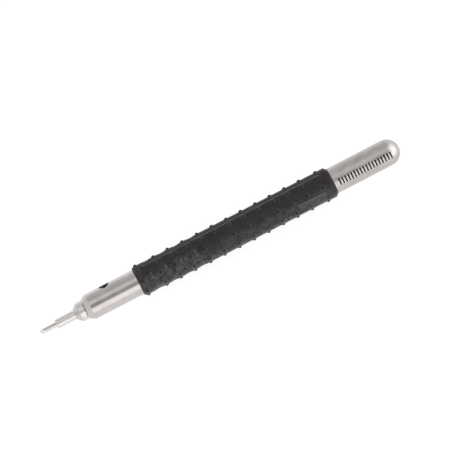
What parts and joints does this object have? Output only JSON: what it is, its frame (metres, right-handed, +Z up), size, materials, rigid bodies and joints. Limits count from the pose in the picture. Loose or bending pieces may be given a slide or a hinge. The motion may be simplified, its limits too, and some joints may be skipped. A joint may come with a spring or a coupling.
{
  "type": "watchmaker screwdriver",
  "caption": "Slim watchmaker's screwdriver: flat blade in a changeable bit held by a clamp screw, nubbed rubber grip sleeve and a domed end cap that unscrews.",
  "frame": {"origin": "on the surface that the tool lies on, below the middle of its length", "axes": "+X along the tool, from the blade to the domed cap; +Z up, with the tool lying on two rows of grip nubs"},
  "size_m": [0.1194, 0.0094, 0.0094],
  "materials": {
    "blade_steel": "fine ground",
    "turned_steel": "fine turned and polished",
    "satin_steel": "satin",
    "black_steel": "black oxide",
    "brass": "turned",
    "aluminium": "drawn",
    "grip_rubber": "moulded, satin",
    "seal_rubber": "smooth"
  },
  "bodies": {
    "handle": {"front_barrel": "turned_steel", "core_tube": "aluminium", "grip_sleeve": "grip_rubber", "rear_ring": "seal_rubber"},
    "bit": {"blade_holder": "turned_steel", "blade": "blade_steel"},
    "clamp_pad": {"clamp_pad": "brass"},
    "clamp_screw": {"clamp_screw": "black_steel"},
    "cap_seal": {"cap_o_ring": "seal_rubber"},
    "cap": {"end_cap": "satin_steel", "spare_blades": "blade_steel"}
  },
  "joints": [
    {"name": "bit_slide", "type": "slide", "parent": "handle", "child": "bit", "axis": [-1, 0, 0], "range_m": [0, 0.014]},
    {"name": "clamp_pad_lift", "type": "slide", "parent": "handle", "child": "clamp_pad", "axis": [0, 0.8387, 0.5446], "range_m": [0, 0.0015]},
    {"name": "clamp_screw_turn", "type": "hinge", "parent": "clamp_pad", "child": "clamp_screw", "pos_m": [-0.0368, 0, 0.00471], "axis": [0, 0.8387, 0.5446], "range_deg": [0, 1080]},
    {"name": "cap_travel", "type": "slide", "parent": "handle", "child": "cap_seal", "axis": [1, 0, 0], "range_m": [0, 0.005]},
    {"name": "cap_turn", "type": "hinge", "parent": "cap_seal", "child": "cap", "pos_m": [0.03745, 0, 0.00471], "axis": [1, 0, 0], "range_deg": [0, 3600]}
  ],
  "couplings": [
    {"joint": "clamp_screw_turn", "follows": "clamp_pad_lift", "rad_per_m": 12566},
    {"joint": "cap_turn", "follows": "cap_travel", "rad_per_m": 12566}
  ]
}
